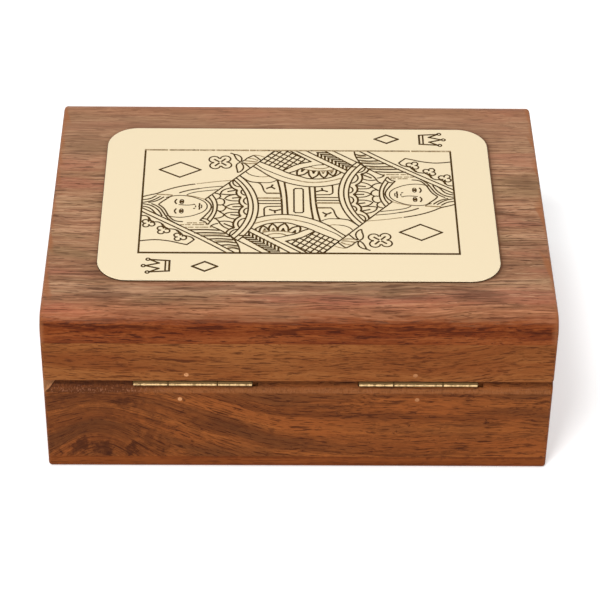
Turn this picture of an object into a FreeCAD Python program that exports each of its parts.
import FreeCAD, Part

# Hinged hardwood box for two decks of playing cards.
#
# The body is a mitred frame of four panels on a thin base board, with a divider between two card wells.
# The lid is a mitred frame of four rails under a solid top board, whose long edges are rounded over and
# whose face holds a card-shaped plate in a shallow recess. Two brass butt hinges join them: their leaves
# stand in saw kerfs in the rear panel and the rear rail, and one nail through the wood pins each leaf.
#
# Millimetres. The origin is at the bottom centre, X runs along the length, the hinges are on the -Y side
# and Z is up. The lid is closed, and turns about the hinge axis, which is parallel to X.

import math
import os
from dataclasses import dataclass

Vec = FreeCAD.Vector
ALONG_X, ALONG_Y = Vec(1, 0, 0), Vec(0, 1, 0)

# ---------------------------------------------------------------- outer sizes
BOX_LENGTH = 152.4
BOX_WIDTH = 114.3
WALL = 8.5                    # thickness of every panel and rail
BASE_THICKNESS = 4.3
BODY_FRAME_HEIGHT = 30.2
LID_FRAME_HEIGHT = 14.5
TOP_THICKNESS = 8.8
LID_GAP = 0.1                 # hairline between the two rims when the lid is shut

# ---------------------------------------------------------------- edges
TOP_ROUNDOVER = 6.0           # long edges of the top board
CORNER_EASE = 1.1             # upright corners, ends of the top board, lower edge of the base
RIM_EASE = 0.3                # outer arris of each rim

# ---------------------------------------------------------------- chamfer that lets the lid swing back
CHAMFER_DEPTH = 3.1
CHAMFER_DROP = 4.8
CORNER_RELIEF_DEPTH = 0.8     # the left end panel keeps its square corner, but for this much
CORNER_RELIEF_DROP = 0.6

# ---------------------------------------------------------------- card wells
DIVIDER_THICKNESS = 3.6
DIVIDER_HOUSING = 2.5         # depth of the groove that takes each end of the divider
DIVIDER_FIT = 0.05            # glue gap round the divider's ends
DIVIDER_BELOW_RIM = 1.5
FINGER_DIP_WIDTH = 26.0       # hollow in the divider's top edge, to reach the cards
FINGER_DIP_DEPTH = 8.0
LINING_THICKNESS = 1.0
LINING_CLEARANCE = 0.3

# ---------------------------------------------------------------- plate in the lid
PLATE_LENGTH = 121.4
PLATE_WIDTH = 78.9
PLATE_CORNER = 9.5
PLATE_THICKNESS = 1.6
PLATE_PROUD = 0.4             # how far its face stands above the wood
PLATE_EASE = 0.2              # softened upper edge
PLATE_CLEARANCE = 0.1
PLATE_OFFSET_Y = 0.8          # its centre lies a little nearer the front

# ---------------------------------------------------------------- hinges
LEFT_HINGE_FROM_END = 26.95   # from the box's left end to the left hinge's near end
RIGHT_HINGE_FROM_END = 22.8   # from the box's right end to the right hinge's near end
BARREL_INSET = 1.1            # from the rear face to the hinge axis
BARREL_DROP = 1.4             # from the body's rim down to the hinge axis
KNUCKLE_RADIUS = 1.05
END_KNUCKLE = 10.3
MIDDLE_KNUCKLE = 14.7
KNUCKLE_GAP = 0.15
PIN_RADIUS = 0.5
PIN_RUNNING_FIT = 0.05
PIN_END = 0.2                 # peened end beyond the outer knuckle
PIN_END_EASE = 0.12
LEAF_THICKNESS = 0.7
LEAF_REACH = 7.7              # from the axis to the leaf's far edge
LEAF_CLEARANCE = 0.15         # between a leaf and the other leaf's knuckles
KERF_FIT = 0.05               # each side of a leaf
KERF_SPARE_DEPTH = 0.3
KERF_SPARE_LEFT = 0.4
KERF_SPARE_RIGHT = 1.9        # each kerf was sawn a little long at its right end
NOTCH_BELOW_AXIS = 1.6        # foot of the pocket that this left in the chamfer
LEFT_SEAT_CLEARANCE = 0.15    # round the left barrel, in the chamfer
RIGHT_SEAT_CLEARANCE = 0.45

# ---------------------------------------------------------------- nails
NAIL_HEAD_RADIUS = 0.7
NAIL_HEAD_SUNK = 0.35
NAIL_HEAD_DOME = 0.15
NAIL_SHANK_RADIUS = 0.4
NAIL_LENGTH = 5.5
NAIL_HOLE_FIT = 0.05          # in the leaf only
LID_NAIL_ABOVE_RIM = 2.5
BODY_NAIL_BELOW_RIM = 7.0
LEFT_LID_NAIL_OFF_CENTRE = 1.8      # each nail's distance from its hinge's middle, towards the left
LEFT_BODY_NAIL_OFF_CENTRE = 3.9
RIGHT_LID_NAIL_OFF_CENTRE = 1.05
RIGHT_BODY_NAIL_OFF_CENTRE = 0.15

CUT_MARGIN = 1.0              # how far a cutting tool runs past the wood


# ---------------------------------------------------------------- levels and faces
BODY_RIM_Z = BASE_THICKNESS + BODY_FRAME_HEIGHT
LID_RIM_Z = BODY_RIM_Z + LID_GAP
TOP_UNDERSIDE_Z = LID_RIM_Z + LID_FRAME_HEIGHT
TOP_Z = TOP_UNDERSIDE_Z + TOP_THICKNESS
RIGHT_X, LEFT_X = BOX_LENGTH / 2, -BOX_LENGTH / 2
FRONT_Y, REAR_Y = BOX_WIDTH / 2, -BOX_WIDTH / 2

AXIS_Y = REAR_Y + BARREL_INSET
AXIS_Z = BODY_RIM_Z - BARREL_DROP
LEAF_Y = (AXIS_Y + KNUCKLE_RADIUS - LEAF_THICKNESS, AXIS_Y + KNUCKLE_RADIUS)
HINGE_LENGTH = 2 * END_KNUCKLE + MIDDLE_KNUCKLE


@dataclass(frozen=True)
class HingeSite:
    """Where one hinge sits along the rear edge, and how it was fitted there by hand."""
    name: str
    centre_x: float
    lid_nail_x: float
    body_nail_x: float
    seat_clearance: float


LEFT_HINGE_X = LEFT_X + LEFT_HINGE_FROM_END + HINGE_LENGTH / 2
RIGHT_HINGE_X = RIGHT_X - RIGHT_HINGE_FROM_END - HINGE_LENGTH / 2
HINGE_SITES = (
    HingeSite(name="left_hinge", centre_x=LEFT_HINGE_X,
              lid_nail_x=LEFT_HINGE_X - LEFT_LID_NAIL_OFF_CENTRE,
              body_nail_x=LEFT_HINGE_X - LEFT_BODY_NAIL_OFF_CENTRE,
              seat_clearance=LEFT_SEAT_CLEARANCE),
    HingeSite(name="right_hinge", centre_x=RIGHT_HINGE_X,
              lid_nail_x=RIGHT_HINGE_X - RIGHT_LID_NAIL_OFF_CENTRE,
              body_nail_x=RIGHT_HINGE_X - RIGHT_BODY_NAIL_OFF_CENTRE,
              seat_clearance=RIGHT_SEAT_CLEARANCE),
)


# ================================================================ basic shapes
def block(x_span, y_span, z_span):
    """A box between the given pairs of faces."""
    (x0, x1), (y0, y1), (z0, z1) = x_span, y_span, z_span
    return Part.makeBox(x1 - x0, y1 - y0, z1 - z0, Vec(x0, y0, z0))


def rod(radius, x_span, y, z):
    """A round bar along X."""
    return Part.makeCylinder(radius, x_span[1] - x_span[0], Vec(x_span[0], y, z), ALONG_X)


def upright_prism(corners, z_span):
    """A prism over a polygon of (x, y) corners."""
    points = [Vec(x, y, z_span[0]) for x, y in corners]
    face = Part.Face(Part.makePolygon(points + points[:1]))
    return face.extrude(Vec(0, 0, z_span[1] - z_span[0]))


def long_prism(corners, x_span):
    """A prism along X over a polygon of (y, z) corners."""
    points = [Vec(x_span[0], y, z) for y, z in corners]
    face = Part.Face(Part.makePolygon(points + points[:1]))
    return face.extrude(Vec(x_span[1] - x_span[0], 0, 0))


def upright_edges(shape):
    """The straight edges of a shape that run along Z."""
    return [edge for edge in shape.Edges
            if edge.BoundBox.XLength < 1e-6 and edge.BoundBox.YLength < 1e-6]


def level_edges(shape, z):
    """The edges of a shape that lie in the level plane at z."""
    return [edge for edge in shape.Edges
            if abs(edge.BoundBox.ZMin - z) < 1e-6 and abs(edge.BoundBox.ZMax - z) < 1e-6]


def rounded_slab(length, width, corner, z_span, centre_y=0.0):
    """A level slab with rounded upright corners, centred on x = 0."""
    slab = block((-length / 2, length / 2), (centre_y - width / 2, centre_y + width / 2), z_span)
    return slab.makeFillet(corner, upright_edges(slab))


# ================================================================ mitred frames
def frame_ring(z_span, eased_z):
    """The outer shell's four walls in one piece, with the outer arris at eased_z softened."""
    outer = rounded_slab(BOX_LENGTH, BOX_WIDTH, CORNER_EASE, z_span)
    outer = outer.makeFillet(RIM_EASE, level_edges(outer, eased_z))
    inner = block((LEFT_X + WALL, RIGHT_X - WALL), (REAR_Y + WALL, FRONT_Y - WALL),
                  (z_span[0] - CUT_MARGIN, z_span[1] + CUT_MARGIN))
    return outer.cut(inner)


def mitred_walls(z_span, eased_z):
    """The frame sawn at its mitres: {"rear", "front", "left", "right"} to one wall each."""
    out, into = CUT_MARGIN, WALL + CUT_MARGIN
    outer = {"rear_left": (LEFT_X - out, REAR_Y - out), "rear_right": (RIGHT_X + out, REAR_Y - out),
             "front_left": (LEFT_X - out, FRONT_Y + out), "front_right": (RIGHT_X + out, FRONT_Y + out)}
    inner = {"rear_left": (LEFT_X + into, REAR_Y + into), "rear_right": (RIGHT_X - into, REAR_Y + into),
             "front_left": (LEFT_X + into, FRONT_Y - into), "front_right": (RIGHT_X - into, FRONT_Y - into)}
    sides = {"rear": ("rear_left", "rear_right"), "front": ("front_left", "front_right"),
             "left": ("rear_left", "front_left"), "right": ("rear_right", "front_right")}
    ring = frame_ring(z_span, eased_z)
    tool_z = (z_span[0] - CUT_MARGIN, z_span[1] + CUT_MARGIN)
    walls = {}
    for side, (a, b) in sides.items():
        wedge = upright_prism([outer[a], outer[b], inner[b], inner[a]], tool_z)
        walls[side] = ring.common(wedge)
    return walls


# ================================================================ hinges
def hinge_span(site):
    """The x of a hinge's two ends."""
    return site.centre_x - HINGE_LENGTH / 2, site.centre_x + HINGE_LENGTH / 2


def knuckle_spans(site):
    """The x spans of the left, middle and right knuckle."""
    start, end = hinge_span(site)
    split_left, split_right = start + END_KNUCKLE, end - END_KNUCKLE
    half_gap = KNUCKLE_GAP / 2
    return ((start, split_left - half_gap), (split_left + half_gap, split_right - half_gap),
            (split_right + half_gap, end))


def leaf_plate(site, reach):
    """The flat of a leaf, from the axis to reach, which is positive upwards."""
    far_z = AXIS_Z + reach
    return block(hinge_span(site), LEAF_Y, (min(AXIS_Z, far_z), max(AXIS_Z, far_z)))


def leaf(site, reach, own_spans, other_spans, nail_x, nail_z):
    """One leaf with its knuckles, cut back round the other leaf's knuckles."""
    plate = leaf_plate(site, reach)
    keep_off = KNUCKLE_RADIUS + LEAF_CLEARANCE
    for start, end in other_spans:
        notch = block((start - KNUCKLE_GAP, end + KNUCKLE_GAP),
                      (LEAF_Y[0] - CUT_MARGIN, LEAF_Y[1] + CUT_MARGIN),
                      (AXIS_Z - keep_off, AXIS_Z + keep_off))
        plate = plate.cut(notch)
    for span in own_spans:
        plate = plate.fuse(rod(KNUCKLE_RADIUS, span, AXIS_Y, AXIS_Z))
    bore = rod(PIN_RADIUS + PIN_RUNNING_FIT, hinge_span(site), AXIS_Y, AXIS_Z)
    nail_hole = Part.makeCylinder(NAIL_SHANK_RADIUS + NAIL_HOLE_FIT, NAIL_LENGTH,
                                  Vec(nail_x, REAR_Y, nail_z), ALONG_Y)
    return plate.cut(bore).cut(nail_hole).removeSplitter()


def hinge_pin(site):
    """The pin through all three knuckles, with softened ends."""
    start, end = hinge_span(site)
    pin = rod(PIN_RADIUS, (start - PIN_END, end + PIN_END), AXIS_Y, AXIS_Z)
    rims = [edge for edge in pin.Edges if edge.BoundBox.XLength < 1e-6]
    return pin.makeChamfer(PIN_END_EASE, rims)


def kerf(site, z_span):
    """The saw cut that takes a leaf, between two levels."""
    start, end = hinge_span(site)
    return block((start - KERF_SPARE_LEFT, end + KERF_SPARE_RIGHT),
                 (LEAF_Y[0] - KERF_FIT, LEAF_Y[1] + KERF_FIT), z_span)


def barrel_seat(site):
    """The round groove in the chamfer that clears the barrel."""
    start, end = hinge_span(site)
    return rod(KNUCKLE_RADIUS + site.seat_clearance,
               (start - KERF_SPARE_LEFT, end + KERF_SPARE_RIGHT), AXIS_Y, AXIS_Z)


def saw_notch(site):
    """The pocket in the chamfer beyond the barrel's right end, where the saw ran out."""
    _, end = hinge_span(site)
    return block((end, end + KERF_SPARE_RIGHT), (REAR_Y - CUT_MARGIN, LEAF_Y[1] + KERF_FIT),
                 (AXIS_Z - NOTCH_BELOW_AXIS, BODY_RIM_Z + CUT_MARGIN))


# ================================================================ nails
def lid_nail_place(site):
    """The (x, z) at which the nail of the lid's leaf enters the rear rail."""
    return site.lid_nail_x, LID_RIM_Z + LID_NAIL_ABOVE_RIM


def body_nail_place(site):
    """The (x, z) at which the nail of the body's leaf enters the rear panel."""
    return site.body_nail_x, BODY_RIM_Z - BODY_NAIL_BELOW_RIM


def nail(place):
    """A nail driven in from the rear face, its domed head let into the wood."""
    x, z = place
    head = Part.makeCylinder(NAIL_HEAD_RADIUS, NAIL_HEAD_SUNK + NAIL_HEAD_DOME,
                             Vec(x, REAR_Y - NAIL_HEAD_DOME, z), ALONG_Y)
    ball_radius = (NAIL_HEAD_RADIUS ** 2 + NAIL_HEAD_DOME ** 2) / (2 * NAIL_HEAD_DOME)
    ball = Part.makeSphere(ball_radius, Vec(x, REAR_Y - NAIL_HEAD_DOME + ball_radius, z))
    shank = Part.makeCylinder(NAIL_SHANK_RADIUS, NAIL_LENGTH, Vec(x, REAR_Y, z), ALONG_Y)
    return head.common(ball).fuse(shank).removeSplitter()


# ================================================================ body
def chamfer_tool(depth, drop):
    """The wood that is planed off along the body's rear top edge."""
    top = (REAR_Y + depth, BODY_RIM_Z)
    foot = (REAR_Y, BODY_RIM_Z - drop)
    slope = math.hypot(depth, drop)
    run_y, run_z = depth / slope * CUT_MARGIN, drop / slope * CUT_MARGIN
    corners = [(top[0] + run_y, top[1] + run_z), (foot[0] - run_y, foot[1] - run_z),
               (foot[0] - CUT_MARGIN, top[1] + run_z)]
    return long_prism(corners, (LEFT_X - CUT_MARGIN, RIGHT_X + CUT_MARGIN))


def divider_housings():
    """The two grooves, one in the rear and one in the front panel, that hold the divider."""
    half = DIVIDER_THICKNESS / 2 + DIVIDER_FIT
    depth = DIVIDER_HOUSING + DIVIDER_FIT
    z_span = (BASE_THICKNESS - CUT_MARGIN, BODY_RIM_Z - DIVIDER_BELOW_RIM)
    rear = block((-half, half), (REAR_Y + WALL - depth, REAR_Y + WALL + CUT_MARGIN), z_span)
    front = block((-half, half), (FRONT_Y - WALL - CUT_MARGIN, FRONT_Y - WALL + depth), z_span)
    return rear, front


def base_board():
    """The board under the frame, with its lower edge rounded."""
    board = rounded_slab(BOX_LENGTH, BOX_WIDTH, CORNER_EASE, (0, BASE_THICKNESS))
    return board.makeFillet(CORNER_EASE, level_edges(board, 0))


def body_panels():
    """The four panels of the body, with the chamfer, kerfs, notches, grooves and nail holes cut."""
    walls = mitred_walls((BASE_THICKNESS, BODY_RIM_Z), BODY_RIM_Z)
    rear_housing, front_housing = divider_housings()
    chamfer = chamfer_tool(CHAMFER_DEPTH, CHAMFER_DROP)
    relief = chamfer_tool(CORNER_RELIEF_DEPTH, CORNER_RELIEF_DROP)
    rear = walls["rear"].cut(chamfer).cut(rear_housing)
    for site in HINGE_SITES:
        deepest = AXIS_Z - LEAF_REACH - KERF_SPARE_DEPTH
        rear = rear.cut(kerf(site, (deepest, BODY_RIM_Z + CUT_MARGIN)))
        rear = rear.cut(barrel_seat(site)).cut(saw_notch(site)).cut(nail(body_nail_place(site)))
    return {"rear_panel": rear, "front_panel": walls["front"].cut(front_housing),
            "left_end_panel": walls["left"].cut(relief), "right_end_panel": walls["right"].cut(chamfer)}


def well_divider():
    """The partition between the wells, with a hollow for a finger in its top edge."""
    top = BODY_RIM_Z - DIVIDER_BELOW_RIM
    reach = BOX_WIDTH / 2 - WALL + DIVIDER_HOUSING
    board = block((-DIVIDER_THICKNESS / 2, DIVIDER_THICKNESS / 2), (-reach, reach), (BASE_THICKNESS, top))
    radius = (FINGER_DIP_WIDTH ** 2 / 4 + FINGER_DIP_DEPTH ** 2) / (2 * FINGER_DIP_DEPTH)
    dip = rod(radius, (-DIVIDER_THICKNESS, DIVIDER_THICKNESS), 0, top - FINGER_DIP_DEPTH + radius)
    return board.cut(dip)


def well_linings():
    """A sheet of felt on the floor of each well."""
    inner, outer = DIVIDER_THICKNESS / 2 + LINING_CLEARANCE, RIGHT_X - WALL - LINING_CLEARANCE
    reach = FRONT_Y - WALL - LINING_CLEARANCE
    z_span = (BASE_THICKNESS, BASE_THICKNESS + LINING_THICKNESS)
    return {"left_well_lining": block((-outer, -inner), (-reach, reach), z_span),
            "right_well_lining": block((inner, outer), (-reach, reach), z_span)}


# ================================================================ lid
def lid_rails():
    """The four rails of the lid, with the kerfs and nail holes cut in the rear one."""
    walls = mitred_walls((LID_RIM_Z, TOP_UNDERSIDE_Z), LID_RIM_Z)
    rear = walls["rear"]
    for site in HINGE_SITES:
        highest = AXIS_Z + LEAF_REACH + KERF_SPARE_DEPTH
        rear = rear.cut(kerf(site, (LID_RIM_Z - CUT_MARGIN, highest))).cut(nail(lid_nail_place(site)))
    return {"lid_rear_rail": rear, "lid_front_rail": walls["front"],
            "lid_left_rail": walls["left"], "lid_right_rail": walls["right"]}


def rounded_profile():
    """The top board's end face: a rectangle whose two upper corners are quarter rounds."""
    r, diagonal = TOP_ROUNDOVER, TOP_ROUNDOVER * (1 - math.sqrt(0.5))
    x = LEFT_X
    rear_foot, front_foot = Vec(x, REAR_Y, TOP_UNDERSIDE_Z), Vec(x, FRONT_Y, TOP_UNDERSIDE_Z)
    rear_low, rear_high = Vec(x, REAR_Y, TOP_Z - r), Vec(x, REAR_Y + r, TOP_Z)
    front_low, front_high = Vec(x, FRONT_Y, TOP_Z - r), Vec(x, FRONT_Y - r, TOP_Z)
    rear_mid = Vec(x, REAR_Y + diagonal, TOP_Z - diagonal)
    front_mid = Vec(x, FRONT_Y - diagonal, TOP_Z - diagonal)
    edges = [Part.LineSegment(rear_foot, rear_low), Part.Arc(rear_low, rear_mid, rear_high),
             Part.LineSegment(rear_high, front_high), Part.Arc(front_high, front_mid, front_low),
             Part.LineSegment(front_low, front_foot), Part.LineSegment(front_foot, rear_foot)]
    return Part.Face(Part.Wire([edge.toShape() for edge in edges]))


def lid_top_board():
    """The solid top, rounded over along its length and eased round its ends, with the plate's recess."""
    board = rounded_profile().extrude(Vec(BOX_LENGTH, 0, 0))
    end_arrises = [edge for edge in board.Edges
                   if edge.BoundBox.XLength < 1e-6 and edge.BoundBox.ZMax > TOP_UNDERSIDE_Z + 1e-6]
    board = board.makeFillet(CORNER_EASE, end_arrises)
    floor_z = TOP_Z + PLATE_PROUD - PLATE_THICKNESS
    recess = rounded_slab(PLATE_LENGTH + 2 * PLATE_CLEARANCE, PLATE_WIDTH + 2 * PLATE_CLEARANCE,
                          PLATE_CORNER + PLATE_CLEARANCE, (floor_z, TOP_Z + CUT_MARGIN), PLATE_OFFSET_Y)
    return board.cut(recess)


def card_plate():
    """The plate, with its upper edge softened."""
    top = TOP_Z + PLATE_PROUD
    plate = rounded_slab(PLATE_LENGTH, PLATE_WIDTH, PLATE_CORNER, (top - PLATE_THICKNESS, top),
                         PLATE_OFFSET_Y)
    return plate.makeFillet(PLATE_EASE, level_edges(plate, top))


# ================================================================ assembly
def hinge_pieces(site):
    """Both leaves and the pin of one hinge. The body's leaf has the two outer knuckles."""
    left, middle, right = knuckle_spans(site)
    body_x, body_z = body_nail_place(site)
    lid_x, lid_z = lid_nail_place(site)
    return {
        site.name + "_body_leaf": leaf(site, -LEAF_REACH, (left, right), (middle,), body_x, body_z),
        site.name + "_lid_leaf": leaf(site, LEAF_REACH, (middle,), (left, right), lid_x, lid_z),
        site.name + "_pin": hinge_pin(site),
    }


def build():
    """Every piece of the box: {node name: shape}."""
    pieces = {"base_board": base_board(), "well_divider": well_divider(),
              "lid_top_board": lid_top_board(), "card_plate": card_plate()}
    pieces.update(body_panels())
    pieces.update(well_linings())
    pieces.update(lid_rails())
    for site in HINGE_SITES:
        pieces.update(hinge_pieces(site))
    pieces["body_hinge_nails"] = Part.makeCompound([nail(body_nail_place(site)) for site in HINGE_SITES])
    pieces["lid_hinge_nails"] = Part.makeCompound([nail(lid_nail_place(site)) for site in HINGE_SITES])
    return pieces


def main():
    os.makedirs("parts", exist_ok=True)
    for name, shape in build().items():
        shape.exportStep("parts/" + name + ".step")
        print(f"{name:24s} solids {len(shape.Solids)}  valid {shape.isValid()}  "
              f"volume {shape.Volume:10.2f} mm3")


main()
